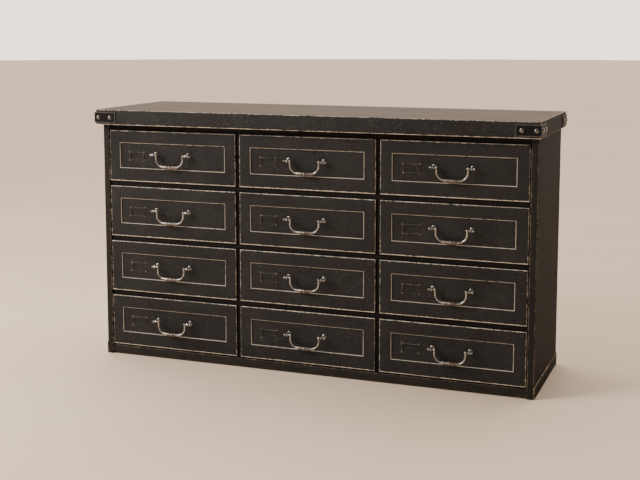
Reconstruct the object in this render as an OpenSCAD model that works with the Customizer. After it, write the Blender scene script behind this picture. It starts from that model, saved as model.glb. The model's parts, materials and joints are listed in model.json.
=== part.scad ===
// Wide dresser with inset framed drawer fronts, drop bail pulls, riveted corner brackets
// and a thick slab top. Millimetres. +Z is up, +X is the width and the fronts face -Y.
// The origin is on the floor, at the centre of the whole object's footprint.

/* [Overall] */
// Height from the floor to the top surface
total_h = 900; // [860:10:980]
// Width of the slab top
top_w = 1590; // [1500:10:1700]
// Depth of the slab top
top_d = 492; // [460:2:540]
// Thickness of the slab top
top_t = 54; // [50:1:60]

/* [Slab top] */
// How far the slab stands past each side panel
side_overhang = 12; // [8:1:20]
// How far the slab stands past the fronts
front_overhang = 32; // [20:1:50]
// How far the slab stands past the back
back_overhang = 20; // [10:1:30]
// Width of each cross-grain end board
breadboard_w = 45; // [40:1:54]
// Easing on the slab's edges
top_ease = 1.6; // [0.8:0.2:2.4]

/* [Carcass] */
// Thickness of the side panels
side_t = 22; // [18:1:28]
// Thickness of the upright dividers
divider_t = 12; // [10:1:14]
// How far the dividers and rails stand back from the fronts
face_recess = 8; // [4:1:12]
// Height of the rails between the rows
rail_h = 14; // [12:1:16]
// Depth of those rails
rail_d = 40; // [30:1:60]
// Thickness of the back panel
back_t = 8; // [6:1:10]
// Thickness of the bottom panel
bottom_t = 12; // [10:1:12]
// Top edge of the base rail
base_rail_top = 33; // [30:1:35]
// Gap between the base rail and the floor
base_rail_lift = 5; // [3:1:8]
// How far the base rail stands back from the fronts
base_rail_recess = 3; // [2:1:6]
// Height of the trim along the foot of each side
trim_h = 42; // [36:1:50]
// Thickness of that trim
trim_t = 3; // [2:0.5:5]

/* [Drawer fronts] */
// Rows of drawers
rows = 4; // [3:1:4]
// Columns of drawers
cols = 3; // [3:1:3]
// Lower edge of the lowest front, above the floor
lowest_front = 39; // [38:1:44]
// Gap over the top row
head_gap = 22; // [20:1:26]
// Gap between rows
row_gap = 19; // [18:1:22]
// Gap between columns
col_gap = 16; // [16:1:20]
// Gap between an outer front and the side panel
side_gap = 4; // [3:0.5:6]
// Thickness of a front
front_t = 20; // [18:1:22]
// Width of a front's stiles
stile_w = 40; // [36:1:50]
// Height of a front's upper rail
front_rail_top = 43; // [36:1:46]
// Height of a front's lower rail
front_rail_low = 47; // [36:1:50]
// How far the centre panel lies below the frame
panel_recess = 4; // [3:0.5:5]
// Width of the bead that slopes down to the panel
bead_w = 4.4; // [3:0.2:6]
// Easing on a front's outer edges
front_ease = 1.8; // [1:0.2:2.4]

/* [Drawer boxes and slides] */
// Outer width of a drawer box
box_w = 472; // [466:1:474]
// Height of a drawer box
box_h = 140; // [120:1:150]
// Length of a drawer box behind its front
box_d = 390; // [340:5:400]
// Thickness of the box's sides and ends
box_t = 12; // [10:1:14]
// Height of the box above the lower edge of its front
box_lift = 16; // [12:1:18]
// Thickness of the drawer bottom
drawer_bottom_t = 6; // [4:1:8]
// Height of the drawer bottom above the box's lower edge
drawer_bottom_lift = 8; // [6:1:12]
// Length of the slides
slide_len = 380; // [320:5:390]
// Height of a cabinet slide channel
channel_h = 36; // [32:1:40]
// Sheet thickness of the slides
slide_sheet = 1.5; // [1.2:0.1:2]

/* [Bail pulls] */
// Distance between the two posts
post_spacing = 128; // [96:32:160]
// Distance of the pin axis below the front's upper edge
pull_drop = 82; // [76:1:90]
// Distance of the pin axis out from the front
pull_standoff = 17; // [15:1:20]
// Diameter of the bail's bar
bar_d = 6.5; // [5.5:0.1:7]
// Distance between the bail's legs
leg_spacing = 104; // [72:32:136]
// Straight length of a leg
leg_drop = 13; // [10:1:18]
// Radius of the bail's corners
bend_r = 28; // [24:1:30]
// Diameter of the hinge pins
pin_d = 5; // [4:0.1:5.4]
// Clearance of the pin in the eye, on radius
pin_clear = 0.06; // [0.02:0.01:0.1]
// Diameter of the ball on each pin's end
ball_d = 8.8; // [7:0.2:10]
// Diameter of the eye on a post
eye_d = 12.4; // [11:0.2:14]
// Length of the eye along the pin
eye_w = 7; // [6:0.5:8]
// Diameter of the rosette under a post
rosette_d = 16; // [13:0.5:18]
// Length of the grip's turned barrel
grip_w = 54; // [48:1:56]
// Largest diameter of the grip
grip_d = 13.6; // [11:0.2:14]

/* [Label holder] */
// Width of the label holder
label_w = 58; // [50:1:64]
// Height of the label holder
label_h = 30; // [26:1:34]
// Thickness of the label holder
label_t = 2.4; // [2:0.2:3]
// Border around its window
label_border = 6; // [4:0.5:8]
// Distance of its centre left of the front's centre
label_offset = 140; // [130:1:150]

/* [Corner brackets] */
// Length of a bracket's leg along the slab's edge
bracket_l = 80; // [70:1:90]
// Height of a bracket
bracket_h = 37; // [32:1:40]
// Thickness of a bracket
bracket_t = 3; // [2:0.5:4]
// Gap between a bracket and the slab's top surface
bracket_drop = 10; // [7:1:12]
// Diameter of a rivet's dome
rivet_d = 16; // [12:1:18]
// Height of a rivet's dome
rivet_h = 5; // [3:0.5:6]
// Distance of the outer rivet from the corner
rivet_near = 14; // [12:1:18]
// Distance of the inner rivet from the corner
rivet_far = 60; // [52:1:64]

/* [Hidden] */
CELLS = [for (r = [1:rows], c = [1:cols]) str("_r", r, "c", c)];
CARCASS_NODES = [
    "left_side_panel", "right_side_panel", "top_field", "top_end_boards",
    "back_panel", "base_trim", "front_rails", "upright_dividers",
    "bottom_panel", "slide_channels", "corner_brackets", "bracket_rivets"
];
$fn = 48;

body_w = top_w - 2 * side_overhang;
body_d = top_d - front_overhang - back_overhang;
body_h = total_h - top_t;
inner_w = body_w - 2 * side_t;
bracket_reach = bracket_t + rivet_h;
face_y = -(body_d + back_overhang - front_overhang) / 2;
back_y = face_y + body_d - back_t;

front_w = (inner_w - 2 * side_gap - (cols - 1) * col_gap) / cols;
front_h = (body_h - head_gap - lowest_front - (rows - 1) * row_gap) / rows;
panel_w = front_w - 2 * stile_w;
panel_h = front_h - front_rail_top - front_rail_low;
joint_gap = 0.2;

pull_z = front_h - pull_drop;
leg_x = leg_spacing / 2;
post_x = post_spacing / 2;
ball_x = post_x + eye_w / 2 + 0.8 + ball_d / 2;
label_z = front_rail_low + panel_h / 2 - 2;
slide_z = box_lift + box_h / 2;
rail_gap = (row_gap - rail_h) / 2;
bracket_z = total_h - bracket_drop - bracket_h;
eps = 0.01;

function front_x(c) = (c - (cols + 1) / 2) * (front_w + col_gap);
function front_z(r) = lowest_front + (rows - r) * (front_h + row_gap);
function divider_x(i) = front_x(i) + (front_w + col_gap) / 2;
function bay_left(c) = c == 1 ? -inner_w / 2 : divider_x(c - 1) + divider_t / 2;
function bay_right(c) = c == cols ? inner_w / 2 : divider_x(c) - divider_t / 2;

// ---- shared shapes ----

module octagon_outline(w, h, e)
    polygon([[e, 0], [w - e, 0], [w, e], [w, h - e], [w - e, h], [e, h], [0, h - e], [0, e]]);

// An outline in Y and Z, drawn along +X
module along_x(len) rotate([90, 0, 90]) linear_extrude(len) children();

// An outline in X and Z, drawn along +Y
module along_y(len) translate([0, len, 0]) rotate([90, 0, 0]) linear_extrude(len) children();

// A board from the origin to [x, y, z] with every edge eased by e
module eased_board(x, y, z, e) intersection() {
    linear_extrude(z) octagon_outline(x, y, e);
    along_x(x) octagon_outline(y, z, e);
    along_y(y) octagon_outline(x, z, e);
}

// A four-sided hole that narrows from w by h at Y 0 by bead on each side, then runs straight
module beaded_hole(w, h, bead, depth, through) {
    slope = [[-eps, 0], [depth, bead], [through, bead]];
    intersection() {
        along_x(w) polygon(concat(slope, [for (i = [2:-1:0]) [slope[i][0], h - slope[i][1]]]));
        linear_extrude(h)
            polygon([for (p = concat(slope, [for (i = [2:-1:0]) [slope[i][0], w - slope[i][1]]]))
                [p[1], p[0]]]);
    }
}

module at_front(r, c) translate([front_x(c), face_y, front_z(r)]) children();

module both_sides() for (m = [0, 1]) mirror([m, 0, 0]) children();

// ---- slab top ----

module top_board(x0, x1) translate([x0, face_y - front_overhang, body_h])
    eased_board(x1 - x0, top_d, top_t, top_ease);

module top_field() color("#8a7868")
    top_board(-top_w / 2 + breadboard_w, top_w / 2 - breadboard_w);

module top_end_boards() color("#7d6c5d")
    both_sides() top_board(top_w / 2 - breadboard_w, top_w / 2);

// ---- carcass ----

module side_panel(x) color("#3b3027") translate([x, face_y, 0])
    eased_board(side_t, body_d, body_h, 1);

module left_side_panel() side_panel(-body_w / 2);

module right_side_panel() side_panel(body_w / 2 - side_t);

module back_panel() color("#4a3a2c")
    translate([-inner_w / 2, back_y, base_rail_lift]) cube([inner_w, back_t, body_h - base_rail_lift]);

module base_rail()
    translate([-inner_w / 2, face_y + base_rail_recess, base_rail_lift])
        eased_board(inner_w, front_t, base_rail_top - base_rail_lift, 1.4);

// The outer upper edge is a sloping bead, and the trim lies flat against the side panel
module side_trim() translate([body_w / 2, face_y, 0]) along_y(body_d)
    polygon([[0, 0], [trim_t, 0], [trim_t, trim_h - 2 * trim_t / 3], [trim_t / 3, trim_h], [0, trim_h]]);

module base_trim() color("#2c2723") {
    base_rail();
    both_sides() side_trim();
}

module front_rail(c, z, h) translate([bay_left(c), face_y + face_recess, z])
    cube([bay_right(c) - bay_left(c), rail_d, h]);

module front_rails() color("#191715") for (c = [1:cols]) {
    for (r = [2:rows]) front_rail(c, front_z(r) + front_h + rail_gap, rail_h);
    front_rail(c, body_h - head_gap + rail_gap, head_gap - rail_gap);
}

module upright_dividers() color("#1d1a18") for (i = [1:cols - 1])
    translate([divider_x(i) - divider_t / 2, face_y + face_recess, base_rail_top])
        cube([divider_t, back_y - face_y - face_recess, body_h - base_rail_top]);

module bottom_panel() color("#4a3a2c")
    translate([-inner_w / 2, face_y + base_rail_recess + front_t, base_rail_top - bottom_t])
        cube([inner_w, back_y - face_y - base_rail_recess - front_t, bottom_t]);

// ---- slides ----

// A C-shaped section that opens along +X, from the wall at X 0
module slide_section(reach, h) along_y(slide_len) polygon([
    [0, -h / 2], [reach, -h / 2], [reach, -h / 2 + slide_sheet], [slide_sheet, -h / 2 + slide_sheet],
    [slide_sheet, h / 2 - slide_sheet], [reach, h / 2 - slide_sheet], [reach, h / 2], [0, h / 2]
]);

module slide_channels() color("#8f9296") for (r = [1:rows], c = [1:cols]) {
    left_room = front_x(c) - box_w / 2 - bay_left(c);
    right_room = bay_right(c) - front_x(c) - box_w / 2;
    translate([0, face_y + front_t + 6, front_z(r) + slide_z]) {
        translate([bay_left(c), 0, 0]) slide_section(left_room - 1, channel_h);
        translate([bay_right(c), 0, 0]) mirror([1, 0, 0]) slide_section(right_room - 1, channel_h);
    }
}

// The drawer's half of a slide runs inside the channel, half a millimetre clear of its flanges
module drawer_slide(room) translate([-box_w / 2, front_t + 6, slide_z]) mirror([1, 0, 0])
    slide_section(room - slide_sheet - 0.8, channel_h - 2 * slide_sheet - 1);

// ---- corner brackets ----

module at_top_corners() for (m = [0, 1], n = [0, 1])
    mirror([m, 0, 0]) mirror([0, n, 0]) translate([top_w / 2, top_d / 2, bracket_z]) children();

module bracket() difference() {
    translate([-bracket_l, -bracket_l, 0])
        eased_board(bracket_l + bracket_t, bracket_l + bracket_t, bracket_h, 0.6);
    translate([-bracket_l - bracket_t, -bracket_l - bracket_t, -1])
        cube([bracket_l + bracket_t, bracket_l + bracket_t, bracket_h + 2]);
}

module corner_brackets() color("#2e2b29")
    at_top_corners() bracket();

// A round-headed rivet: a slice of a sphere on a flat face, standing along +Z
module rivet_head() {
    dome_r = (pow(rivet_d / 2, 2) + pow(rivet_h, 2)) / (2 * rivet_h);
    intersection() {
        translate([0, 0, rivet_h - dome_r]) sphere(dome_r);
        translate([-rivet_d, -rivet_d, 0]) cube([2 * rivet_d, 2 * rivet_d, rivet_h + 1]);
    }
}

module bracket_rivets() color("#3a3835") at_top_corners() for (d = [rivet_near, rivet_far]) {
    translate([-d, bracket_t, bracket_h / 2]) rotate([-90, 0, 0]) rivet_head();
    translate([bracket_t, -d, bracket_h / 2]) rotate([0, 90, 0]) rivet_head();
}

// ---- one drawer, drawn at its front's lower middle ----

// The frame's outline with its eased outer edge and its beaded hole, in one piece
module front_frame_blank() difference() {
    translate([-front_w / 2, 0, 0]) eased_board(front_w, front_t, front_h, front_ease);
    translate([-panel_w / 2 - bead_w, 0, front_rail_low - bead_w])
        beaded_hole(panel_w + 2 * bead_w, panel_h + 2 * bead_w, bead_w, panel_recess, front_t + 1);
}

// A stretch of the frame between two places across the front and two up it
module frame_piece(x0, x1, z0, z1) intersection() {
    front_frame_blank();
    translate([x0, -1, z0]) cube([x1 - x0, front_t + 2, z1 - z0]);
}

module drawer_front() color("#2b2927") {
    inner_x = panel_w / 2;
    both_sides() frame_piece(inner_x, front_w / 2, 0, front_h);
    frame_piece(-inner_x + joint_gap, inner_x - joint_gap, 0, front_rail_low);
    frame_piece(-inner_x + joint_gap, inner_x - joint_gap, front_h - front_rail_top, front_h);
    translate([-inner_x + joint_gap, panel_recess, front_rail_low + joint_gap])
        cube([panel_w - 2 * joint_gap, front_t - panel_recess, panel_h - 2 * joint_gap]);
}

module box_board(x, y, z, w, d, h) translate([x - w / 2, y, z]) cube([w, d, h]);

module drawer_box() color("#a98a62") {
    between = box_w - 2 * box_t - 2 * joint_gap;
    end_z = box_lift + drawer_bottom_lift + drawer_bottom_t + joint_gap;
    both_sides() box_board(box_w / 2 - box_t / 2, front_t, box_lift, box_t, box_d, box_h);
    box_board(0, front_t, box_lift, between, box_t, box_h);
    box_board(0, front_t + box_d - box_t, end_z, between, box_t, box_lift + box_h - end_z);
    box_board(0, front_t + box_t + joint_gap, box_lift + drawer_bottom_lift,
        between, box_d - box_t - joint_gap, drawer_bottom_t);
}

// A post stands on the centre panel; its eye is at the origin and the panel is at +Y
module pull_post() {
    reach = pull_standoff + panel_recess;
    difference() {
        union() {
            rotate([0, 90, 0]) cylinder(d = eye_d, h = eye_w, center = true);
            translate([0, 3, 0]) rotate([-90, 0, 0]) cylinder(d = 6.4, h = reach - 3);
            translate([0, reach - 5, 0]) rotate([-90, 0, 0]) cylinder(d1 = 9, d2 = 12, h = 2.5);
            translate([0, reach - 2.5, 0]) rotate([-90, 0, 0]) cylinder(d = rosette_d, h = 2.5);
        }
        rotate([0, 90, 0]) cylinder(r = pin_d / 2 + pin_clear, h = 2 * rosette_d, center = true);
    }
}

module label_holder() difference() {
    union() {
        translate([-label_w / 2, 0, -label_h / 2]) eased_board(label_w, label_t, label_h, 0.5);
        for (x = [-1, 1], z = [-1, 1])
            translate([x * (label_w / 2 - 1), label_t, z * (label_h / 2 - 1)])
                rotate([90, 0, 0]) cylinder(r = 3.4, h = label_t - 0.6);
    }
    box_board(0, -1, -label_h / 2 + label_border,
        label_w - 2 * label_border, label_t + 2, label_h - 2 * label_border);
    box_board(0, label_t - 0.9, -label_h / 2 + label_border - 2,
        label_w - 2 * label_border + 4, 1, label_h - 2 * label_border + 4);
}

module drawer_hardware(c) {
    color("#8d8a83") both_sides() {
        translate([post_x, -pull_standoff, pull_z]) pull_post();
        translate([post_x, front_t + box_t, pull_z]) rotate([-90, 0, 0]) cylinder(d = 9, h = 2.4);
    }
    color("#35322f") translate([-label_offset, panel_recess - label_t, label_z]) label_holder();
    color("#8f9296") {
        drawer_slide(front_x(c) - box_w / 2 - bay_left(c));
        mirror([1, 0, 0]) drawer_slide(bay_right(c) - front_x(c) - box_w / 2);
    }
}

// ---- the bail, drawn with its pin axis on the origin ----

// Half of the grip's turned profile, from its end to its middle: [distance from middle, radius]
function grip_half() = concat(
    [[1, 0.6], [0.97, 0.74], [0.91, 0.74], [0.88, 0.6], [0.84, 0.6], [0.81, 0.85], [0.74, 0.85], [0.71, 0.7]],
    [for (t = [0.66:-0.22:0]) [t, 1 - 0.4 * t * t]]
);

module grip() rotate([0, 90, 0]) rotate_extrude() polygon(concat(
    [[0, -grip_w / 2]],
    [for (p = grip_half()) [p[1] * grip_d / 2, -p[0] * grip_w / 2]],
    [for (i = [len(grip_half()) - 1:-1:0]) [grip_half()[i][1] * grip_d / 2, grip_half()[i][0] * grip_w / 2]],
    [[0, grip_w / 2]]
));

module bail() color("#9a948a") {
    both_sides() {
        translate([leg_x, 0, 0]) rotate([0, 90, 0]) cylinder(d = pin_d, h = ball_x - leg_x);
        translate([ball_x, 0, 0]) sphere(d = ball_d);
        translate([leg_x, 0, 0]) sphere(d = bar_d + 0.8);
        translate([leg_x, 0, -leg_drop]) cylinder(d = bar_d, h = leg_drop);
        translate([leg_x - bend_r, 0, -leg_drop]) rotate([90, 0, 0]) rotate([0, 0, -90])
            rotate_extrude(angle = 90) translate([bend_r, 0]) circle(d = bar_d);
    }
    translate([0, 0, -leg_drop - bend_r]) grip();
}

// ---- what is drawn ----

left_side_panel();
right_side_panel();
top_field();
top_end_boards();
back_panel();
base_trim();
front_rails();
upright_dividers();
bottom_panel();
slide_channels();
corner_brackets();
bracket_rivets();
for (r = [1:rows], c = [1:cols]) at_front(r, c) {
    cell = str("_r", r, "c", c);
    drawer_front();
    drawer_box();
    drawer_hardware(c);
    translate([0, -pull_standoff, pull_z]) bail();
}
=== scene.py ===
import json
import math

import bmesh
import bpy
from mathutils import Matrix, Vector


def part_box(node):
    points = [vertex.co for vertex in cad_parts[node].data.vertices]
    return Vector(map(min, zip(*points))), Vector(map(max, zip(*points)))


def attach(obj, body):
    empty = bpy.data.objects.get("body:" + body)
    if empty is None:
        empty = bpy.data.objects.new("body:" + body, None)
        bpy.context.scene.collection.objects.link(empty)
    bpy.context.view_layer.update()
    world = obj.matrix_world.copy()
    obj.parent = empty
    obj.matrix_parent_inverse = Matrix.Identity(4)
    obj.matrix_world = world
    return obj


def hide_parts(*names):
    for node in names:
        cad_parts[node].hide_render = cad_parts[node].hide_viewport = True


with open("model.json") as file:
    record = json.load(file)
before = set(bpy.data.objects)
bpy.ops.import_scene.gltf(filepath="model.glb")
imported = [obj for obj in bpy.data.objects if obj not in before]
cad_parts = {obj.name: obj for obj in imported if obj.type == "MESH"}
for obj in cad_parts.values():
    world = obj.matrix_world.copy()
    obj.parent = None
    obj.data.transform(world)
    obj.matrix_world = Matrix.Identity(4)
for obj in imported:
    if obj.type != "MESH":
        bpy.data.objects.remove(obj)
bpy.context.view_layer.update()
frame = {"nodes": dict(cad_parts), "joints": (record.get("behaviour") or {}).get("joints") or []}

# Metres, in the CAD frame: +Z up, +X the width, fronts facing -Y.
MM = 0.001
ROWS = (1, 2, 3, 4)
COLUMNS = (1, 2, 3)

# How far from an edge the "edge" attribute runs from 0 to 1.
EDGE_REACH = 12 * MM

# Boards that meet inside one piece stay this far apart.
JOINT_GAP = 0.2 * MM

# The least part of a normal along an axis for a face to count as facing that way.
FACING = 0.72
FACING_UP = 0.6

# Slab and carcass
SLAB_EASE = 1.6 * MM
SLAB_JOINT_REACH = 1.2 * SLAB_EASE
SLAB_JOINT_SQUEEZE = 0.25
PANEL_EASE = 1.2 * MM
BASE_RECESS = 3 * MM
BASE_LIFT = 5 * MM
BASE_T = 20 * MM
TRIM_EASE = 0.6 * MM
TRIM_SLOPE = 3 * MM
TRIM_TOP = 0.7 * MM
TRIM_SLOPE_FROM = 0.3

# Drawer fronts
STILE_W = 40 * MM
UPPER_RAIL_H = 43 * MM
LOWER_RAIL_H = 47 * MM
PANEL_RECESS = 4 * MM
FRONT_EASE = 1.8 * MM
EASE_STEPS = (0.0, 0.12, 0.35, 0.65, 1.0)
# The groove where a rail meets a stile, and how much less the upper edges wear.
RAIL_JOINT = 0.25 * MM
RAIL_JOINT_DROP = 0.35 * MM
UPPER_LAG = 1.3 * MM

# The bead: shares of its width with shares of its drop to the panel. The rub is for its lower,
# right, upper and left lengths; past the crest's vertices it is cut to BEAD_SLOPE_RUB of that.
BEAD_W = 4.4 * MM
BEAD_PROFILE = ((0.06, 0.1), (0.3, 0.2), (0.6, 0.48), (0.85, 0.82), (1.0, 1.0))
BEAD_RUB = (0.86, 0.7, 0.8, 0.7)
BEAD_SLOPE_RUB = 0.3
BEAD_CREST_VERTS = 6

# Drawer boxes and slides
BOX_T = 12 * MM
BOX_BOTTOM_LIFT = 8 * MM
BOX_BOTTOM_T = 6 * MM
BOX_EASE = 0.8 * MM
SLIDE_START = 26 * MM
SLIDE_LEN = 380 * MM
SLIDE_MIDDLE = 86 * MM
SLIDE_HALF = 16 * MM
SLIDE_SHEET = 1.5 * MM
SLIDE_SCREWS = (0.12, 0.5, 0.88)
SLIDE_SCREW_R = 4 * MM
SLIDE_SCREW_H = 1.6 * MM

# Pulls
POST_AT = 64 * MM
LEG_AT = 52 * MM
LEG_DROP = 13 * MM
BEND_R = 28 * MM
BAR_R = 3.25 * MM
PIN_R = 2.5 * MM
BALL_R = 4.4 * MM
BALL_AT = 72.7 * MM
EYE_R = 6.2 * MM
EYE_BORE_R = 2.56 * MM
EYE_W = 7 * MM
EYE_FACE = 0.84 * EYE_R
EYE_FLAT = 0.78
ROSETTE_R = 8 * MM
STEM_R = 3.2 * MM
POST_SCREW_R = 4.5 * MM
POST_SCREW_H = 2.4 * MM
KNUCKLE_R = 1.6 * BAR_R
KNUCKLE_SQUEEZE = 0.9

# The grip, by the distance from its middle: a swelling with flutes and turned rings
GRIP_R = 7.4 * MM
GRIP_REACH = 36 * MM
GRIP_FULLNESS = 0.95
GRIP_SAG = 1.4 * MM
GRIP_TARNISH = 0.4
FLUTES = 8
FLUTE_AT = 16.5 * MM
FLUTE_REACH = 7.5 * MM
FLUTE_DEPTH = 0.6 * MM
RINGS = ((2.6 * MM, 0.9 * MM), (5.6 * MM, 0.9 * MM), (8.4 * MM, 0.8 * MM),
         (25.0 * MM, 0.5 * MM), (28.0 * MM, 0.45 * MM))
RING_HALF_W = 1 * MM
# Depths at which a flute and a ring are fully dark
FLUTE_DARK = 0.5 * MM
RING_DARK = MM / 1.4

# Label holders
LABEL_AT = -140 * MM
LABEL_W = 58 * MM
LABEL_H = 30 * MM
LABEL_T = 2.4 * MM
LABEL_BORDER = 6 * MM
LABEL_PROFILE = ((0, 0), (0, 0.7), (0.12, 0.95), (0.4, 1.0), (0.75, 0.7), (1.0, 0.6), (1.0, 0.0))
EAR_R = 3.4 * MM
EAR_RISE = 0.8 * LABEL_T
LABEL_PIN_RISE = 0.75 * LABEL_T
LABEL_PIN_R = 1.5 * MM
LABEL_PIN_H = 0.9 * MM

# Nails in the back panel
NAIL_R = 3.2 * MM
NAIL_H = 0.8 * MM
NAIL_INSET = 9 * MM
NAILS_ACROSS = 12
NAILS_UP = 7

# Corner brackets
BRACKET_LEG = 80 * MM
BRACKET_T = 3 * MM
BRACKET_EASE = 0.7 * MM
BRACKET_INSET = 5 * MM
RIVET_AT = (14 * MM, 60 * MM)
RIVET_R = 8 * MM
RIVET_H = 5 * MM
RIVET_RIM = 0.15

# Camera, light and floor
CAMERA_PLACE = (1.408, -3.820, 1.190)
CAMERA_PITCH = 0.117
CAMERA_YAW = 0.360
CAMERA_SENSOR = 36.0
CAMERA_LENS = 64.93
CAMERA_SHIFT = -0.12
KEY_PLACE = (-3.0, -2.7, 2.8)
KEY_TARGET = (-0.1, 0.0, 0.6)
KEY_SIZE = (1.8, 1.5)
KEY_WATTS = 225
KEY_COLOUR = (1.0, 0.97, 0.93)
SURROUND_BRIGHT_SIDE = (-0.5, 0.866, 0.0)
SURROUND_LEVELS = {"From Min": -0.6, "From Max": 0.8, "To Min": 0.38, "To Max": 3.0}
FLOOR_R = 40.0


# ---------------------------------------------------------------- node trees

class Shader:
    """One procedural material, built node by node."""

    def __init__(self, name):
        self.material = bpy.data.materials.new(name)
        self.material.use_nodes = True
        self.tree = self.material.node_tree
        self.tree.nodes.clear()
        self.place = self.add("TexCoord").outputs["Object"]

    def add(self, kind, values=None, **settings):
        """A new node: values go to its inputs, as links where they are sockets."""
        node = self.tree.nodes.new("ShaderNode" + kind)
        for key, value in settings.items():
            setattr(node, key, value)
        for key, value in (values or {}).items():
            if isinstance(value, bpy.types.NodeSocket):
                self.tree.links.new(value, node.inputs[key])
            else:
                node.inputs[key].default_value = value
        return node

    def noise(self, scale, stretch=(1, 1, 1), detail=4, roughness=0.55, distortion=0.0):
        """Fractal noise on the rest position, squeezed along each axis by stretch."""
        mapped = self.add("Mapping", {"Vector": self.place, "Scale": stretch}).outputs[0]
        made = self.add("TexNoise", {"Vector": mapped, "Scale": scale, "Detail": detail,
                                     "Roughness": roughness, "Distortion": distortion})
        return made.outputs["Fac"]

    def calc(self, operation, first, second):
        """One Math node."""
        return self.add("Math", {0: first, 1: second}, operation=operation).outputs[0]

    def ramp(self, value, start, end, low=0.0, high=1.0):
        """value from start to end becomes low to high, held beyond them."""
        return self.add("MapRange", {"Value": value, "From Min": start, "From Max": end,
                                     "To Min": low, "To Max": high}).outputs["Result"]

    def mix(self, factor, first, second):
        """The first colour where factor is 0, the second where it is 1."""
        return self.add("Mix", {0: factor, 6: first, 7: second}, data_type="RGBA").outputs[2]

    def finish(self, colour, roughness, height=None, relief=0.0, **constants):
        """The surface shader, with bump from height, relief metres deep."""
        values = {"Base Color": colour, "Roughness": roughness}
        values.update({key.replace("_", " "): value for key, value in constants.items()})
        if height is not None:
            bump = self.add("Bump", {"Height": height, "Strength": 1.0, "Distance": relief})
            values["Normal"] = bump.outputs[0]
        surface = self.add("BsdfPrincipled", values)
        self.add("OutputMaterial", {"Surface": surface.outputs[0]})
        return self.material


def tone(red, green, blue):
    """An sRGB colour from 0 to 255 as the linear colour that a socket takes."""
    def linear(value):
        value /= 255
        return value / 12.92 if value <= 0.04045 else ((value + 0.055) / 1.055) ** 2.4
    return (linear(red), linear(green), linear(blue), 1.0)


def rubbed(shader, widths, spread=7.0):
    """0 to 1 where the finish is rubbed off an edge.

    widths gives, in millimetres, how far the wear reaches from edges along X, Y and Z, or
    None for edges that don't wear; spread is how ragged a noise makes it, in millimetres.
    """
    edge = shader.add("Attribute", attribute_name="edge").outputs["Vector"]
    axes = shader.add("SeparateXYZ", {0: edge}).outputs
    ragged = shader.calc("ADD", shader.noise(38, detail=6, roughness=0.8),
                         shader.noise(150, detail=4, roughness=0.7))
    total = None
    for axis, width in zip(axes, widths):
        if width is None:
            continue
        away = shader.calc("MULTIPLY", axis, EDGE_REACH / MM)
        away = shader.calc("ADD", away, shader.calc("MULTIPLY", ragged, spread))
        worn = shader.ramp(away, width + spread - 0.6, width + spread + 0.6, 1.0, 0.0)
        total = worn if total is None else shader.calc("MAXIMUM", total, worn)
    return total


def painted(name, dark, light, bare, widths, beads=False):
    """Brushed dark paint over wood, mottled, and rubbed to the wood on the edges."""
    shader = Shader(name)
    mottle = shader.ramp(shader.noise(7, detail=6, roughness=0.65), 0.32, 0.7)
    brushed = shader.noise(30, (0.5, 6, 6), detail=5, roughness=0.7)
    paint = shader.mix(mottle, tone(*dark), tone(*light))
    paint = shader.mix(shader.ramp(brushed, 0.35, 0.75, 0.0, 0.45), paint, tone(*light))
    specks = shader.ramp(shader.noise(420, detail=2), 0.66, 0.74, 0.0, 0.5)
    worn = rubbed(shader, widths)
    if beads:
        bead = shader.add("Attribute", attribute_name="bead").outputs["Fac"]
        broken = shader.noise(46, detail=6, roughness=0.85)
        rub = shader.ramp(shader.calc("SUBTRACT", bead, broken), 0.08, 0.2, 0.0, 0.9)
        worn = shader.calc("MAXIMUM", worn, rub)
    bare_tone = shader.mix(shader.noise(90, detail=4), tone(*bare),
                           tone(*[part * 0.72 for part in bare]))
    colour = shader.mix(specks, paint, bare_tone)
    colour = shader.mix(worn, colour, bare_tone)
    sheen = shader.ramp(brushed, 0.3, 0.8, 0.44, 0.62)
    grain = shader.calc("ADD", shader.noise(60, (0.35, 9, 9), detail=6, roughness=0.7),
                        shader.calc("MULTIPLY", worn, -0.7))
    rough = shader.calc("ADD", sheen, shader.calc("MULTIPLY", worn, 0.2))
    return shader.finish(colour, rough, grain, 0.35 * MM, Specular_IOR_Level=0.22)


def wooden(name, along, tones, pores=0.5, gloss=0.4, widths=None, blotch=0.35,
           specular=0.3, figure_scale=2.2):
    """Wood with its grain along one axis: long figure, fine pores and slow blotches."""
    shader = Shader(name)
    squeeze = [0.7 if axis == along else 15.0 for axis in "XYZ"]
    fine = [2.0 if axis == along else 90.0 for axis in "XYZ"]
    figure = shader.noise(figure_scale, squeeze, detail=7, roughness=0.62, distortion=0.15)
    streaks = shader.noise(3.0, fine, detail=4, roughness=0.6)
    slow = shader.noise(3.1, detail=3)
    dark, middle, light = [tone(*part) for part in tones]
    colour = shader.mix(shader.ramp(figure, 0.3, 0.55), dark, middle)
    colour = shader.mix(shader.ramp(figure, 0.5, 0.78), colour, light)
    colour = shader.mix(shader.ramp(streaks, 0.5, 0.72, 0.0, pores), colour, dark)
    colour = shader.mix(shader.ramp(slow, 0.4, 0.7, 0.0, blotch), colour, dark)
    rough = shader.ramp(streaks, 0.3, 0.75, gloss - 0.05, gloss + 0.12)
    height = shader.calc("ADD", streaks, shader.calc("MULTIPLY", figure, 0.5))
    if widths:
        worn = rubbed(shader, widths)
        colour = shader.mix(worn, colour, tone(150, 132, 110))
        rough = shader.calc("ADD", rough, shader.calc("MULTIPLY", worn, 0.15))
    return shader.finish(colour, rough, height, 0.25 * MM, Specular_IOR_Level=specular)


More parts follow.
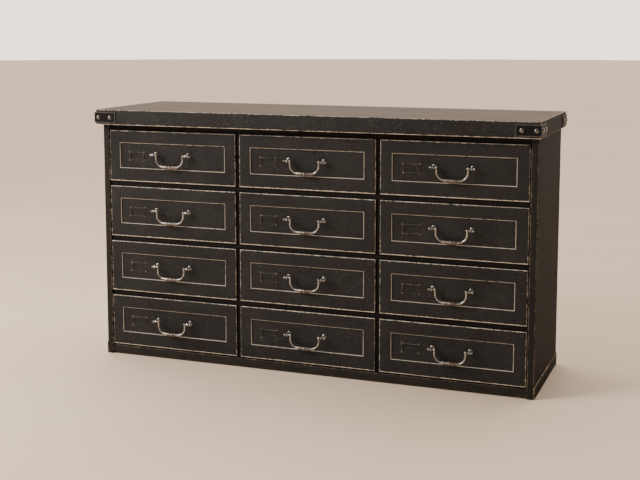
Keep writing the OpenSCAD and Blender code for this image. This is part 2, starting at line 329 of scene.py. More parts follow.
def slab_face(name, along):
    """The slab's upper face: waxed wood, rubbed tan near the rim, with dark paint on it."""
    shader = Shader(name)
    squeeze = [1.0 if axis == along else 16.0 for axis in "XYZ"]
    fine = [1.5 if axis == along else 120.0 for axis in "XYZ"]
    figure = shader.noise(2.4, squeeze, detail=8, roughness=0.65, distortion=0.3)
    streaks = shader.noise(3.2, fine, detail=5, roughness=0.62)
    colour = shader.mix(shader.ramp(figure, 0.3, 0.7), tone(62, 48, 38), tone(98, 79, 64))
    colour = shader.mix(shader.ramp(streaks, 0.42, 0.7, 0.0, 0.75), colour, tone(34, 27, 22))
    edge = shader.add("Attribute", attribute_name="edge").outputs["Vector"]
    axes = shader.add("SeparateXYZ", {0: edge}).outputs
    ends = shader.ramp(axes[1], 0.0, 1.0, 0.25, 1.0)
    near = shader.calc("MULTIPLY", shader.calc("MINIMUM", axes[0], ends), EDGE_REACH / MM)
    ragged = shader.calc("MULTIPLY", shader.noise(30, detail=6, roughness=0.75), 9.0)
    tan = shader.ramp(shader.calc("ADD", near, ragged), 9.4, 11.8, 0.8, 0.0)
    colour = shader.mix(tan, colour, tone(150, 130, 107))
    painted_rim = shader.ramp(shader.calc("ADD", near, ragged), 6.2, 7.2, 1.0, 0.0)
    colour = shader.mix(painted_rim, colour, tone(38, 34, 30))
    rough = shader.ramp(streaks, 0.3, 0.75, 0.55, 0.72)
    return shader.finish(colour, rough, streaks, 0.2 * MM, Specular_IOR_Level=0.1)


def metal(name, bright, dull, roughness, relief, scale, widths=None, rim=(150, 140, 128),
          crevices=None, metallic=1.0, specular=0.5):
    """Cast or forged metal: tarnish, fine pitting, rubbed rims and dark crevices."""
    shader = Shader(name)
    tarnish = shader.ramp(shader.noise(scale, detail=6, roughness=0.65), 0.35, 0.7)
    pits = shader.noise(scale * 9, detail=4, roughness=0.6)
    colour = shader.mix(tarnish, tone(*bright), tone(*dull))
    rough = shader.ramp(pits, 0.3, 0.75, roughness - 0.06, roughness + 0.14)
    if crevices:
        deep = shader.add("Attribute", attribute_name="crevice").outputs["Fac"]
        patchy = shader.calc("MULTIPLY", deep, shader.ramp(pits, 0.2, 0.6, 0.6, 1.0))
        colour = shader.mix(patchy, colour, tone(*crevices))
        rough = shader.calc("ADD", rough, shader.calc("MULTIPLY", deep, 0.25))
    if widths:
        colour = shader.mix(rubbed(shader, widths, 2.0), colour, tone(*rim))
    height = shader.calc("ADD", pits, shader.noise(scale * 2.2, detail=3))
    return shader.finish(colour, rough, height, relief, Metallic=metallic,
                         Specular_IOR_Level=specular)


def materials():
    """Every material of the dresser by name."""
    charcoal = dict(dark=(13, 13, 14), light=(32, 32, 32), bare=(214, 203, 186))
    umber = ((8, 6, 3), (16, 12, 7), (26, 19, 12))
    pine = ((122, 98, 72), (150, 124, 94), (168, 144, 114))
    return {
        "front": painted("front_paint", widths=(2.9, None, 1.0), beads=True, **charcoal),
        "slab_side": painted("slab_paint", widths=(1.8, 1.2, 1.8), **charcoal),
        "slab_field": slab_face("top_wood", "X"),
        "slab_end": slab_face("top_wood_ends", "Y"),
        "slab_end_grain": wooden("slab_end_grain", "X", ((11, 8, 5), (21, 15, 10), (31, 23, 16)),
                                 widths=(1.0, 1.2, 1.0), gloss=0.6, specular=0.05),
        "side": wooden("side_wood", "Z", umber, widths=(0.8, 0.8, 0.6), gloss=0.6, specular=0.04,
                       figure_scale=3.2),
        "stile": painted("carcass_paint", dark=(12, 11, 10), light=(24, 22, 19),
                         bare=(132, 116, 95), widths=(0.4, None, 0.8)),
        # The rails and uprights behind the fronts get near-black tones, darker than the front
        # paint: painted shade for the recesses between the drawers.
        "recess": wooden("frame_dark", "X", ((8, 7, 6), (14, 12, 10), (22, 19, 16)), gloss=0.6,
                         specular=0.15),
        "divider": wooden("divider_painted_shade", "Z", ((8, 7, 6), (14, 12, 10), (22, 19, 16)), gloss=0.6,
                          specular=0.15),
        "base": painted("base_paint", dark=(14, 13, 12), light=(34, 30, 26),
                        bare=(165, 145, 118), widths=(0.2, None, 0.2)),
        "inner": wooden("inner_wood", "X", ((62, 48, 35), (84, 66, 48), (100, 80, 60)),
                        gloss=0.6, figure_scale=6.0),
        "box": wooden("drawer_wood", "Y", pine, gloss=0.6, pores=0.45, blotch=0.1,
                      figure_scale=5.0, specular=0.2),
        "box_ends": wooden("drawer_wood_ends", "X", pine, gloss=0.6, pores=0.45, blotch=0.1,
                           figure_scale=5.0, specular=0.2),
        "box_bottom": wooden("drawer_bottom_wood", "X", pine, gloss=0.65, pores=0.25, blotch=0.1,
                             figure_scale=2.5, specular=0.15),
        "pewter": metal("pull_pewter", (182, 179, 174), (100, 95, 88), 0.24, 0.05 * MM, 120,
                        crevices=(70, 42, 28)),
        "post": metal("post_pewter", (168, 165, 160), (78, 74, 70), 0.24, 0.05 * MM, 120),
        "label": painted("label_paint", dark=(14, 13, 13), light=(30, 28, 27),
                         bare=(112, 102, 94), widths=(0.7, None, 0.7)),
        "iron": metal("bracket_iron", (20, 20, 20), (10, 10, 10), 0.6, 0.5 * MM, 60,
                      widths=(1.9, None, 1.9), rim=(84, 82, 80), metallic=0.2, specular=0.15),
        "rivet": metal("rivet_iron", (128, 124, 118), (70, 67, 63), 0.2, 0.12 * MM, 90,
                       metallic=0.9),
        "steel": metal("slide_steel", (186, 188, 190), (150, 152, 154), 0.3, 0.04 * MM, 80),
    }


# ---------------------------------------------------------------- mesh helpers

def new_mesh():
    """An empty mesh with the attributes that the materials read."""
    bm = bmesh.new()
    bm.verts.layers.float_vector.new("edge")
    bm.verts.layers.float.new("bead")
    bm.verts.layers.float.new("crevice")
    return bm


def mark_edges(bm, verts, lo, hi, upper_lag=0.0):
    """Stores each vertex's distance to the box's edges along X, Y and Z, over EDGE_REACH.

    upper_lag is added near the upper edges, so that they wear less than the lower ones.
    """
    layer = bm.verts.layers.float_vector["edge"]
    middle = (lo.z + hi.z) / 2
    for vert in verts:
        away = [min(vert.co[i] - lo[i], hi[i] - vert.co[i]) for i in range(3)]
        along_x = max(away[1], away[2]) + (upper_lag if vert.co.z > middle else 0.0)
        lines = (along_x, max(away[0], away[2]), max(away[0], away[1]))
        vert[layer] = Vector([min(max(line, 0.0) / EDGE_REACH, 1.0) for line in lines])


def board(bm, lo, hi, ease, whole=None, slot=0):
    """An eased board between two corners, cut so that the edge attribute runs true."""
    lo, hi = Vector(lo), Vector(hi)
    others = set(bm.verts)
    verts = bmesh.ops.create_cube(bm, size=1.0)["verts"]
    for vert in verts:
        vert.co = Vector([lo[i] + (vert.co[i] + 0.5) * (hi[i] - lo[i]) for i in range(3)])
    edges = list({edge for vert in verts for edge in vert.link_edges})
    bmesh.ops.bevel(bm, geom=edges, offset=ease, segments=3, profile=0.5, affect="EDGES")
    for axis in range(3):
        reach = min(EDGE_REACH, 0.4 * (hi[axis] - lo[axis]))
        for level in (lo[axis] + reach, hi[axis] - reach):
            cut_board(bm, others, axis, level)
    made = [vert for vert in bm.verts if vert not in others]
    for face in {face for vert in made for face in vert.link_faces}:
        face.material_index = slot
    mark_edges(bm, made, *(whole or (lo, hi)))
    return made


def cut_board(bm, others, axis, level):
    """A loop of edges round the newest board, square to an axis."""
    verts = [vert for vert in bm.verts if vert not in others]
    edges = list({edge for vert in verts for edge in vert.link_edges})
    faces = list({face for vert in verts for face in vert.link_faces})
    place = [0.0, 0.0, 0.0]
    normal = [0.0, 0.0, 0.0]
    place[axis] = level
    normal[axis] = 1.0
    bmesh.ops.bisect_plane(bm, geom=verts + edges + faces, plane_co=place, plane_no=normal)


def relief(bm, xs, zs, depth):
    """A sheet facing -Y over the lines xs and zs, with its depth from a function."""
    grid = [[bm.verts.new((x, depth(x, z), z)) for x in xs] for z in zs]
    for below, above in zip(grid, grid[1:]):
        for i in range(len(xs) - 1):
            bm.faces.new((below[i], below[i + 1], above[i + 1], above[i]))
    return [vert for row in grid for vert in row]


def moulding(bm, rings):
    """Four mitred lengths round a rectangle. A ring is (x0, x1, z0, z1, y)."""
    made = []
    for side in range(4):
        rows = []
        for x0, x1, z0, z1, y in rings:
            corners = [(x0, y, z0), (x1, y, z0), (x1, y, z1), (x0, y, z1), (x0, y, z0)]
            rows.append([bm.verts.new(corners[side]), bm.verts.new(corners[side + 1])])
        for near, far in zip(rows, rows[1:]):
            bm.faces.new((near[0], near[1], far[1], far[0]))
        made.append([vert for row in rows for vert in row])
    return made


def turned(bm, origin, axis, profile, sides=24, closed=False):
    """A surface turned about an axis, with a profile of (along, radius) pairs."""
    axis = Vector(axis).normalized()
    first = axis.orthogonal().normalized()
    second = axis.cross(first)
    rings = []
    for along, radius in profile:
        centre = Vector(origin) + axis * along
        if radius < 1e-7:
            rings.append([bm.verts.new(centre)])
            continue
        ring = []
        for k in range(sides):
            angle = 2 * math.pi * k / sides
            arm = first * math.cos(angle) + second * math.sin(angle)
            ring.append(bm.verts.new(centre + arm * radius))
        rings.append(ring)
    pairs = list(zip(rings, rings[1:]))
    if closed:
        pairs.append((rings[-1], rings[0]))
    for near, far in pairs:
        for k in range(sides):
            after = (k + 1) % sides
            if len(near) == 1:
                bm.faces.new((near[0], far[k], far[after]))
            elif len(far) == 1:
                bm.faces.new((near[k], near[after], far[0]))
            else:
                bm.faces.new((near[k], near[after], far[after], far[k]))
    return [vert for ring in rings for vert in ring]


def swept(bm, path, radii, grooves, sides):
    """A bar along a path in an XZ plane, with closed ends.

    grooves gives, at each point, the depth of its flutes and a tarnish from 0 to 1 besides.
    """
    layer = bm.verts.layers.float["crevice"]
    side = Vector((0, 1, 0))
    rings = []
    for i, point in enumerate(path):
        ahead = path[min(i + 1, len(path) - 1)] - path[max(i - 1, 0)]
        other = ahead.normalized().cross(side)
        ring = []
        for k in range(sides):
            angle = 2 * math.pi * k / sides
            cut = grooves[i][0] * (0.5 - 0.5 * math.cos(FLUTES * angle))
            arm = side * math.cos(angle) + other * math.sin(angle)
            vert = bm.verts.new(point + arm * (radii[i] - cut))
            vert[layer] = min(1.0, cut / FLUTE_DARK + grooves[i][1])
            ring.append(vert)
        rings.append(ring)
    for near, far in zip(rings, rings[1:]):
        for k in range(sides):
            after = (k + 1) % sides
            bm.faces.new((near[k], near[after], far[after], far[k]))
    for ring in (rings[0], rings[-1]):
        bm.faces.new(ring)


def dome(radius, height, steps=6, rim=0.25):
    """A rounded head's profile, standing on 0, as (along, radius) pairs."""
    points = [(0.0, radius), (height * rim, radius)]
    for k in range(1, steps + 1):
        angle = math.pi / 2 * k / steps
        points.append((height * (rim + (1 - rim) * math.sin(angle)), radius * math.cos(angle)))
    points[-1] = (height, 0.0)
    return points


def ball(radius):
    """A ball's profile about 0, as (along, radius) pairs."""
    steps = 10
    angles = [math.pi * k / steps for k in range(steps + 1)]
    points = [(-radius * math.cos(angle), radius * math.sin(angle)) for angle in angles]
    points[0] = (-radius, 0.0)
    points[-1] = (radius, 0.0)
    return points


def piece(name, bm, body, mats, nodes=()):
    """Turns the mesh into a named object on a body, standing for CAD nodes."""
    bmesh.ops.recalc_face_normals(bm, faces=bm.faces)
    mesh = bpy.data.meshes.new(name)
    bm.to_mesh(mesh)
    bm.free()
    for material in mats:
        mesh.materials.append(material)
    mesh.shade_smooth()
    mesh.set_sharp_from_angle(angle=math.radians(34))
    made = bpy.data.objects.new(name, mesh)
    bpy.context.scene.collection.objects.link(made)
    if nodes:
        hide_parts(*nodes)
    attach(made, body)
    return made


# ---------------------------------------------------------------- carcass

def paint_slab_faces(bm):
    """Slot 0 for upper faces, 1 for front, back and lower faces, 2 for the ends."""
    for face in bm.faces:
        if face.normal.z > FACING_UP:
            face.material_index = 0
        elif abs(face.normal.x) > FACING:
            face.material_index = 2
        else:
            face.material_index = 1


def close_joint(bm, joint):
    """Narrows the grooves that two eased edges leave at a joint across X."""
    for vert in bm.verts:
        if abs(vert.co.x - joint) < SLAB_JOINT_REACH:
            vert.co.x = joint + (vert.co.x - joint) * SLAB_JOINT_SQUEEZE


def slab(mats):
    """The field board and the two end boards."""
    field_lo, field_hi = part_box("top_field")
    ends_lo, ends_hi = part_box("top_end_boards")
    whole = (Vector(ends_lo), Vector(ends_hi))
    bm = new_mesh()
    board(bm, field_lo, field_hi, SLAB_EASE, whole)
    bm.normal_update()
    close_joint(bm, field_lo[0])
    close_joint(bm, field_hi[0])
    paint_slab_faces(bm)
    side_mats = [mats["slab_side"], mats["slab_end_grain"]]
    piece("slab_field", bm, "carcass", [mats["slab_field"], *side_mats], ["top_field"])
    bm = new_mesh()
    left_joint = field_lo[0] - JOINT_GAP
    right_joint = field_hi[0] + JOINT_GAP
    board(bm, ends_lo, (left_joint, ends_hi[1], ends_hi[2]), SLAB_EASE, whole)
    board(bm, (right_joint, ends_lo[1], ends_lo[2]), ends_hi, SLAB_EASE, whole)
    bm.normal_update()
    close_joint(bm, left_joint)
    close_joint(bm, right_joint)
    paint_slab_faces(bm)
    piece("slab_end_boards", bm, "carcass", [mats["slab_end"], *side_mats],
          ["top_end_boards"])


def side_panels(mats):
    """The two side panels, brown outside and dark on the front edge."""
    for side in ("left", "right"):
        bm = new_mesh()
        board(bm, *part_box(side + "_side_panel"), PANEL_EASE)
        bm.normal_update()
        for face in bm.faces:
            face.material_index = 1 if face.normal.y < -FACING else 0
        piece(side + "_side", bm, "carcass", [mats["side"], mats["stile"]],
              [side + "_side_panel"])


def base(mats):
    """The rail under the lowest drawers and the trim at the foot of each side."""
    lo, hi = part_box("base_trim")
    left_lo, left_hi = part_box("left_side_panel")
    right_lo, right_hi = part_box("right_side_panel")
    floor_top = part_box("bottom_panel")[1][2]
    front = left_lo[1] + BASE_RECESS
    bm = new_mesh()
    board(bm, (left_hi[0] + JOINT_GAP, front, BASE_LIFT),
          (right_lo[0] - JOINT_GAP, front + BASE_T, floor_top), PANEL_EASE)
    piece("base_rail", bm, "carcass", [mats["base"]], ["base_trim"])
    bm = new_mesh()
    for inner, outer in ((left_lo[0] - JOINT_GAP, lo[0]), (right_hi[0] + JOINT_GAP, hi[0])):
        trim_lo = (min(inner, outer), left_lo[1], 0.0)
        trim_hi = (max(inner, outer), left_hi[1], hi[2])
        for vert in board(bm, trim_lo, trim_hi, TRIM_EASE):
            outward = abs(vert.co.x - inner) / abs(outer - inner)
            if vert.co.z > hi[2] - TRIM_TOP and outward > TRIM_SLOPE_FROM:
                vert.co.z -= TRIM_SLOPE * outward
    piece("side_trims", bm, "carcass", [mats["side"]])


def back_nails(mats):
    """Small nail heads round the rim of the back panel."""
    lo, hi = [Vector(corner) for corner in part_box("back_panel")]
    bm = new_mesh()
    across = [lo.x + NAIL_INSET + (hi.x - lo.x - 2 * NAIL_INSET) * k / NAILS_ACROSS
              for k in range(NAILS_ACROSS + 1)]
    upright = [lo.z + NAIL_INSET + (hi.z - lo.z - 2 * NAIL_INSET) * k / NAILS_UP
               for k in range(1, NAILS_UP)]
    spots = [(x, z) for x in across for z in (lo.z + NAIL_INSET, hi.z - NAIL_INSET)]
    spots += [(x, z) for x in (lo.x + NAIL_INSET, hi.x - NAIL_INSET) for z in upright]
    for x, z in spots:
        turned(bm, Vector((x, hi.y, z)), (0, 1, 0), dome(NAIL_R, NAIL_H, 4), 12)
    piece("back_nails", bm, "carcass", [mats["steel"]])


def brackets(mats):
    """Four L-shaped plates round the slab's corners, and their rivets."""
    lo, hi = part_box("corner_brackets")
    plates = new_mesh()
    rivets = new_mesh()
    height = (lo[2] + hi[2]) / 2
    head = dome(RIVET_R, RIVET_H, 7, RIVET_RIM)
    for sx in (-1, 1):
        for sy in (-1, 1):
            corner = Vector((hi[0] * sx, hi[1] * sy, 0))
            plate(plates, corner, sx, sy, lo[2], hi[2])
            for away in RIVET_AT:
                spot = Vector((corner.x - sx * (away + BRACKET_T), corner.y, height))
                turned(rivets, spot, (0, sy, 0), head, 28)
                spot = Vector((corner.x, corner.y - sy * (away + BRACKET_T), height))
                turned(rivets, spot, (sx, 0, 0), head, 28)
    piece("bracket_plates", plates, "carcass", [mats["iron"]],
          ["corner_brackets"])
    piece("rivet_heads", rivets, "carcass", [mats["rivet"]], ["bracket_rivets"])


def plate(bm, corner, sx, sy, low, high):
    """One eased L plate, with its edge attribute round both legs."""
    arm = BRACKET_LEG + BRACKET_T
    outline = [(0, 0), (arm, 0), (arm, BRACKET_T), (BRACKET_T, BRACKET_T), (BRACKET_T, arm),
               (0, arm)]
    before = set(bm.verts)
    rows = [[bm.verts.new((corner.x - sx * x, corner.y - sy * y, z)) for x, y in outline]
            for z in (low, high)]
    for k in range(len(outline)):
        after = (k + 1) % len(outline)
        bm.faces.new((rows[0][k], rows[0][after], rows[1][after], rows[1][k]))
    for row in rows:
        bm.faces.new((row[0], row[1], row[2], row[3]))
        bm.faces.new((row[0], row[3], row[4], row[5]))
    edges = [edge for edge in {edge for row in rows for vert in row for edge in vert.link_edges}
             if not edge.is_manifold or edge.calc_face_angle(0.0) > 0.5]
    bmesh.ops.bevel(bm, geom=edges, offset=BRACKET_EASE, segments=2, profile=0.5,
                    affect="EDGES")
    made = [vert for vert in bm.verts if vert not in before]
    for face in {face for vert in made for face in vert.link_faces}:
        if face.calc_area() > 0.8 * BRACKET_LEG * (high - low):
            bmesh.ops.inset_individual(bm, faces=[face], thickness=BRACKET_INSET)
    made = [vert for vert in bm.verts if vert not in before]
    layer = bm.verts.layers.float_vector["edge"]
    for vert in made:
        level = min(vert.co.z - low, high - vert.co.z)
        along = max(abs(vert.co.x - corner.x), abs(vert.co.y - corner.y))
        upright = min(along, arm - along)
        vert[layer] = Vector([min(max(line, 0) / EDGE_REACH, 1) for line in (level, 1.0, upright)])


# ---------------------------------------------------------------- drawers

def front_depth(lo, hi):
    """The depth of a front's face: rounded over at the outer edges."""
    def depth(x, z):
        near = min(x - lo[0], hi[0] - x, z - lo[2], hi[2] - z)
        short = max(FRONT_EASE - near, 0.0)
        return lo[1] + FRONT_EASE - math.sqrt(max(FRONT_EASE ** 2 - short ** 2, 0.0))
    return depth


def lines(start, end, eased_start, eased_end):
    """Grid lines from start to end, close together at eased ends."""
    made = [start]
    if eased_start:
        made = [start + FRONT_EASE * step for step in EASE_STEPS] + [start + EDGE_REACH]
    if eased_end:
        made += [end - EDGE_REACH] + [end - FRONT_EASE * step for step in reversed(EASE_STEPS)]
    else:
        made.append(end)
    return made


def drawer_front(tag, mats):
    """Two stiles, two rails, a bead and a lower centre panel."""
    lo, hi = [Vector(corner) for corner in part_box("drawer_front_" + tag)]
    inner = (lo.x + STILE_W, hi.x - STILE_W, lo.z + LOWER_RAIL_H, hi.z - UPPER_RAIL_H)
    depth = front_depth(lo, hi)

    def joined(x, z):
        at_joint = min(abs(x - inner[0]), abs(x - inner[1])) < RAIL_JOINT / 2
        return depth(x, z) + (RAIL_JOINT_DROP if at_joint else 0.0)

    bm = new_mesh()
    bead_layer = bm.verts.layers.float["bead"]
    made = []
    upright = lines(lo.z, hi.z, True, True)
    left = lines(lo.x, inner[0] - RAIL_JOINT, True, False) + [inner[0]]
    right = [inner[1]] + lines(inner[1] + RAIL_JOINT, hi.x, False, True)
    made += relief(bm, left, upright, joined)
    made += relief(bm, right, upright, joined)
    across = [inner[0], inner[0] + RAIL_JOINT, inner[1] - RAIL_JOINT, inner[1]]
    made += relief(bm, across, lines(lo.z, inner[2], True, False), joined)
    made += relief(bm, across, lines(inner[3], hi.z, False, True), joined)
    made += bead_lengths(bm, inner, lo.y, bead_layer)
    shrunk = (inner[0] + BEAD_W, inner[1] - BEAD_W, inner[2] + BEAD_W, inner[3] - BEAD_W)
    made += relief(bm, [shrunk[0], shrunk[1]], [shrunk[2], shrunk[3]],
                   lambda x, z: lo.y + PANEL_RECESS)
    rim = [(lo.x, hi.x, lo.z, hi.z, y) for y in (lo.y + FRONT_EASE, lo.y + EDGE_REACH, hi.y)]
    for side in moulding(bm, rim):
        made += side
    back = [bm.verts.new((x, hi.y, z)) for x, z in
            ((lo.x, lo.z), (hi.x, lo.z), (hi.x, hi.z), (lo.x, hi.z))]
    bm.faces.new(back)
    made += back
    mark_edges(bm, made, lo, hi, upper_lag=UPPER_LAG)
    bmesh.ops.remove_doubles(bm, verts=bm.verts, dist=0.01 * MM)
    piece("front_" + tag, bm, "drawer_" + tag, [mats["front"]],
          ["drawer_front_" + tag])


def bead_lengths(bm, inner, face, layer):
    """The rounded bead that slopes from the frame down to the panel."""
    x0, x1, z0, z1 = inner
    rings = [(x0, x1, z0, z1, face)]
    for share, drop in BEAD_PROFILE:
        inset = BEAD_W * share
        rings.append((x0 + inset, x1 - inset, z0 + inset, z1 - inset, face + PANEL_RECESS * drop))
    made = []
    for rub, verts in zip(BEAD_RUB, moulding(bm, rings)):
        for k, vert in enumerate(verts):
            vert[layer] = rub if k < BEAD_CREST_VERTS else BEAD_SLOPE_RUB * rub
        made += verts
    return made


def drawer_box(tag, mats):
    """Two sides, two ends and a bottom, a hair apart at the joints."""
    lo, hi = [Vector(corner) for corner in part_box("drawer_box_" + tag)]
    inner_x = (lo.x + BOX_T + JOINT_GAP, hi.x - BOX_T - JOINT_GAP)
    bottom_z = lo.z + BOX_BOTTOM_LIFT
    above = bottom_z + BOX_BOTTOM_T + JOINT_GAP
    bm = new_mesh()
    board(bm, lo, (lo.x + BOX_T, hi.y, hi.z), BOX_EASE)
    board(bm, (hi.x - BOX_T, lo.y, lo.z), hi, BOX_EASE)
    board(bm, (inner_x[0], lo.y, lo.z), (inner_x[1], lo.y + BOX_T, hi.z), BOX_EASE, slot=1)
    board(bm, (inner_x[0], hi.y - BOX_T, above), (inner_x[1], hi.y, hi.z), BOX_EASE, slot=1)
    board(bm, (inner_x[0], lo.y + BOX_T + JOINT_GAP, bottom_z),
          (inner_x[1], hi.y, above - JOINT_GAP), BOX_EASE, slot=2)
    piece("box_" + tag, bm, "drawer_" + tag,
          [mats["box"], mats["box_ends"], mats["box_bottom"]], ["drawer_box_" + tag])


def slide(bm, inner, outer, start, level):
    """A folded steel runner on a box's side, open outwards, with three screw heads."""
    outward = 1 if outer > inner else -1
    low, high = level - SLIDE_HALF, level + SLIDE_HALF
    web = inner + outward * SLIDE_SHEET
    outline = [(inner, low), (outer, low), (outer, low + SLIDE_SHEET), (web, low + SLIDE_SHEET),
               (web, high - SLIDE_SHEET), (outer, high - SLIDE_SHEET), (outer, high),
               (inner, high)]
    rows = [[bm.verts.new((x, y, z)) for x, z in outline] for y in (start, start + SLIDE_LEN)]
    for k in range(len(outline)):
        after = (k + 1) % len(outline)
        bm.faces.new((rows[0][k], rows[0][after], rows[1][after], rows[1][k]))
    for row in rows:
        for corners in ((0, 1, 2, 3), (0, 3, 4, 7), (4, 5, 6, 7)):
            bm.faces.new([row[k] for k in corners])
    made = [vert for row in rows for vert in row]
    for share in SLIDE_SCREWS:
        spot = Vector((web, start + SLIDE_LEN * share, level))
        made += turned(bm, spot, (outward, 0, 0), dome(SLIDE_SCREW_R, SLIDE_SCREW_H, 4), 14)
    return made


def hardware(tag, mats):
    """Two posts with eyes and rosettes, their screw heads, the label holder and two slides."""
    lo, hi = [Vector(corner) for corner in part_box("drawer_front_" + tag)]
    axis = hinge_axis(tag)
    centre = (lo.x + hi.x) / 2
    panel = lo.y + PANEL_RECESS
    bm = new_mesh()
    box_lo, box_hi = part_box("drawer_box_" + tag)
    half = EYE_W / 2
    eye = [(-half, EYE_BORE_R), (-half, EYE_FACE), (-half * EYE_FLAT, EYE_R),
           (half * EYE_FLAT, EYE_R), (half, EYE_FACE), (half, EYE_BORE_R)]
    for side in (-1, 1):
        spot = Vector((centre + side * POST_AT, axis.y, axis.z))
        turned(bm, spot, (1, 0, 0), eye, 24, closed=True)
        post(bm, Vector((spot.x, panel, spot.z)), panel - spot.y)
        head = Vector((spot.x, box_lo[1] + BOX_T, spot.z))
        turned(bm, head, (0, 1, 0), dome(POST_SCREW_R, POST_SCREW_H), 20)
    holder = label_holder(bm, Vector((centre + LABEL_AT, panel, (lo.z + hi.z) / 2)))
    hard_lo, hard_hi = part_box("drawer_hardware_" + tag)
    start, level = lo.y + SLIDE_START, lo.z + SLIDE_MIDDLE
    slides = slide(bm, box_lo[0], hard_lo[0], start, level)
    slides += slide(bm, box_hi[0], hard_hi[0], start, level)
    for verts, slot in ((holder, 1), (slides, 2)):
        for vert in verts:
            for face in vert.link_faces:
                face.material_index = slot
    piece("hardware_" + tag, bm, "drawer_" + tag,
          [mats["post"], mats["label"], mats["steel"]], ["drawer_hardware_" + tag])


def post(bm, foot, reach):
    """A rosette and a waisted stem from the panel to the eye."""
    end = reach - EYE_R * 0.8
    profile = [(0, ROSETTE_R), (1.1 * MM, ROSETTE_R), (1.7 * MM, ROSETTE_R * 0.9),
               (1.9 * MM, ROSETTE_R * 0.66), (2.5 * MM, ROSETTE_R * 0.6), (3.2 * MM, STEM_R * 1.2),
               (5.0 * MM, STEM_R * 0.86), (end - 3 * MM, STEM_R * 0.86), (end, STEM_R * 1.25)]
    turned(bm, foot, (0, -1, 0), profile, 24)


def label_holder(bm, centre):
    """A moulded frame round a window, with an ear and a pin at each corner."""
    half_w, half_h = LABEL_W / 2, LABEL_H / 2
    rings = []
    for share, rise in LABEL_PROFILE:
        inset = LABEL_BORDER * share
        rings.append((centre.x - half_w + inset, centre.x + half_w - inset,
                      centre.z - half_h + inset, centre.z + half_h - inset,
                      centre.y - LABEL_T * rise))
    made = [vert for side in moulding(bm, rings) for vert in side]
    for sx in (-1, 1):
        for sz in (-1, 1):
            ear = Vector((centre.x + sx * half_w, centre.y, centre.z + sz * half_h))
            made += turned(bm, ear, (0, -1, 0), dome(EAR_R, EAR_RISE, 4, 0.7), 20)
            pin = ear - Vector((0, LABEL_PIN_RISE, 0))
            made += turned(bm, pin, (0, -1, 0), dome(LABEL_PIN_R, LABEL_PIN_H, 4), 12)
    lo = centre - Vector((half_w, 0, half_h))
    hi = centre + Vector((half_w, 0, half_h))
    layer = bm.verts.layers.float_vector["edge"]
    for vert in made:
        away = [min(vert.co[i] - lo[i], hi[i] - vert.co[i]) for i in (0, 2)]
        near = min(max(min(away), 0.0) / EDGE_REACH, 1.0)
        vert[layer] = Vector((near, 1.0, near))
    return made


def hinge_axis(tag):
    """A point on the axis that a bail turns about."""
    for joint in frame["joints"]:
        if joint["name"] == "bail_hinge_" + tag:
            return Vector(joint["pos_m"])
    raise ValueError("no bail hinge for " + tag)


def bail(tag, mats):
    """The hinge pins with their balls, and the bent bar that swells into the grip."""
    lo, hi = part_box("drawer_front_" + tag)
    axis = hinge_axis(tag)
    hinge = Vector(((lo[0] + hi[0]) / 2, axis.y, axis.z))
    bm = new_mesh()
    for side in (-1, 1):
        turned(bm, hinge + Vector((side * BALL_AT, 0, 0)), (1, 0, 0), ball(BALL_R), 24)
        pin = [(0.0, 0.0), (0.0, PIN_R), (BALL_AT - LEG_AT, PIN_R), (BALL_AT - LEG_AT, 0.0)]
        turned(bm, hinge + Vector((side * LEG_AT, 0, 0)), (side, 0, 0), pin, 20)
        knuckle = [(along * KNUCKLE_SQUEEZE, radius) for along, radius in ball(KNUCKLE_R)]
        turned(bm, hinge + Vector((side * LEG_AT, 0, 0)), (1, 0, 0), knuckle, 24)
    half = half_bail()
    mirrored = [(-x, z, away) for x, z, away in reversed(half[1:])]
    path, radii, grooves = [], [], []
    for x, z, away in mirrored + half:
        path.append(hinge + Vector((x, 0, z)))
        swell, flute, ring = grip_shape(away)
        radii.append(BAR_R + (GRIP_R - BAR_R) * swell - ring)
        grooves.append((flute, min(ring / RING_DARK + GRIP_TARNISH * swell, 1.0)))
    swept(bm, path, radii, grooves, 32)
    piece("bail_pull_" + tag, bm, "pull_" + tag, [mats["pewter"]], ["bail_" + tag])


def half_bail():
    """The bar's centreline from the middle of the grip to a hinge, as (x, z, arc length)."""
    level = -(LEG_DROP + BEND_R)
    straight = LEG_AT - BEND_R
    points = []
    for k in range(41):
        x = straight * k / 40
        points.append((x, level, x))
    for k in range(1, 25):
        angle = math.pi / 2 * k / 24
        points.append((straight + BEND_R * math.sin(angle), level + BEND_R * (1 - math.cos(angle)),
                       straight + BEND_R * angle))
    bend = straight + BEND_R * math.pi / 2
    points += [(LEG_AT, -LEG_DROP * (1 - k / 4), bend + LEG_DROP * k / 4) for k in range(1, 5)]
    return [(x, z - GRIP_SAG * math.cos(min(away / GRIP_REACH, 1.0) * math.pi / 2) ** 2, away)
            for x, z, away in points]


def grip_shape(away):
    """Swelling from 0 to 1, flute depth and ring depth at a distance from the middle."""
    swell = math.cos(min(away / GRIP_REACH, 1.0) * math.pi / 2) ** GRIP_FULLNESS
    flute = FLUTE_DEPTH * max(0.0, 1 - abs(away - FLUTE_AT) / FLUTE_REACH) ** 0.5
    ring = 0.0
    for centre, depth in RINGS:
        ring = max(ring, depth * max(0.0, 1 - abs(away - centre) / RING_HALF_W))
    return swell, flute, ring


# ---------------------------------------------------------------- CAD nodes that stay

def finish_node(name, material):
    """A better material on a CAD node's own slots."""
    for slot in frame["nodes"][name].material_slots:
        slot.material = material


def carried_over(mats):
    """The inner parts keep their CAD shape."""
    finish_node("back_panel", mats["inner"])
    finish_node("bottom_panel", mats["inner"])
    # The rails and uprights take the near-black tones that are painted shade for the recesses
    # between the drawers.
    finish_node("front_rails", mats["recess"])
    finish_node("upright_dividers", mats["divider"])
    finish_node("slide_channels", mats["steel"])


# ---------------------------------------------------------------- studio

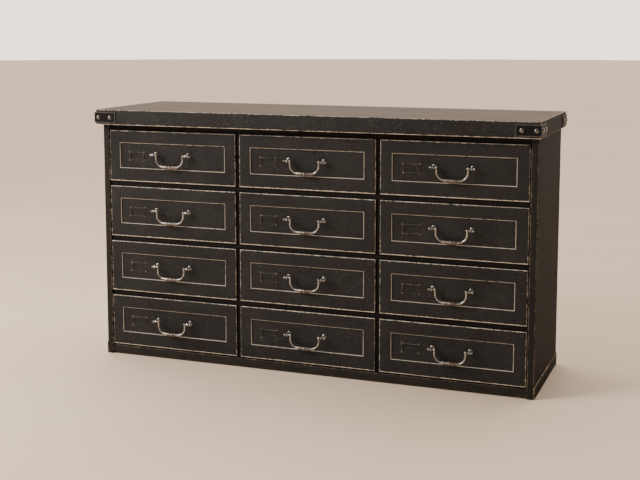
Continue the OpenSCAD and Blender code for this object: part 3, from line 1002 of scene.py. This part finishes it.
def studio():
    """A plain pale floor, a soft surround and one large soft light from the left."""
    bm = new_mesh()
    bmesh.ops.create_circle(bm, cap_ends=True, radius=FLOOR_R, segments=64)
    mesh = bpy.data.meshes.new("floor")
    bm.to_mesh(mesh)
    bm.free()
    floor = bpy.data.objects.new("floor", mesh)
    bpy.context.scene.collection.objects.link(floor)
    shader = Shader("floor_pale")
    cloud = shader.ramp(shader.noise(0.8, detail=3), 0.3, 0.7)
    colour = shader.mix(cloud, tone(217, 196, 174), tone(224, 205, 184))
    mesh.materials.append(shader.finish(colour, 0.75))
    surround()
    key_light()


def surround():
    """A warm white surround, brighter behind the object and to its left than in front of it."""
    world = bpy.data.worlds.new("studio")
    bpy.context.scene.world = world
    world.use_nodes = True
    tree = world.node_tree
    back = tree.nodes["Background"]
    back.inputs["Color"].default_value = tone(242, 229, 216)
    where = tree.nodes.new("ShaderNodeTexCoord")
    facing = tree.nodes.new("ShaderNodeVectorMath")
    facing.operation = "DOT_PRODUCT"
    facing.inputs[1].default_value = SURROUND_BRIGHT_SIDE
    tree.links.new(where.outputs["Generated"], facing.inputs[0])
    level = tree.nodes.new("ShaderNodeMapRange")
    level.interpolation_type = "SMOOTHSTEP"
    tree.links.new(facing.outputs["Value"], level.inputs["Value"])
    for socket, value in SURROUND_LEVELS.items():
        level.inputs[socket].default_value = value
    tree.links.new(level.outputs["Result"], back.inputs["Strength"])


def key_light():
    """A large soft light from the front left, aimed at the fronts."""
    data = bpy.data.lights.new("key", "AREA")
    data.shape = "RECTANGLE"
    data.size, data.size_y = KEY_SIZE
    data.energy = KEY_WATTS
    data.color = KEY_COLOUR
    light = bpy.data.objects.new("key", data)
    bpy.context.scene.collection.objects.link(light)
    light.location = KEY_PLACE
    look = Vector(KEY_TARGET) - Vector(KEY_PLACE)
    light.rotation_euler = look.to_track_quat("-Z", "Y").to_euler()


def camera():
    """The photograph's view: from the right, a little above the slab."""
    data = bpy.data.cameras.new("camera")
    data.sensor_width = CAMERA_SENSOR
    data.lens = CAMERA_LENS
    data.shift_y = CAMERA_SHIFT
    made = bpy.data.objects.new("camera", data)
    bpy.context.scene.collection.objects.link(made)
    made.location = CAMERA_PLACE
    made.rotation_euler = (math.pi / 2 - CAMERA_PITCH, 0.0, CAMERA_YAW)
    bpy.context.scene.camera = made


def build():
    """The whole dresser."""
    mats = materials()
    slab(mats)
    side_panels(mats)
    base(mats)
    back_nails(mats)
    brackets(mats)
    for row in ROWS:
        for column in COLUMNS:
            tag = f"r{row}c{column}"
            drawer_front(tag, mats)
            drawer_box(tag, mats)
            hardware(tag, mats)
            bail(tag, mats)
    carried_over(mats)


camera()
studio()
build()
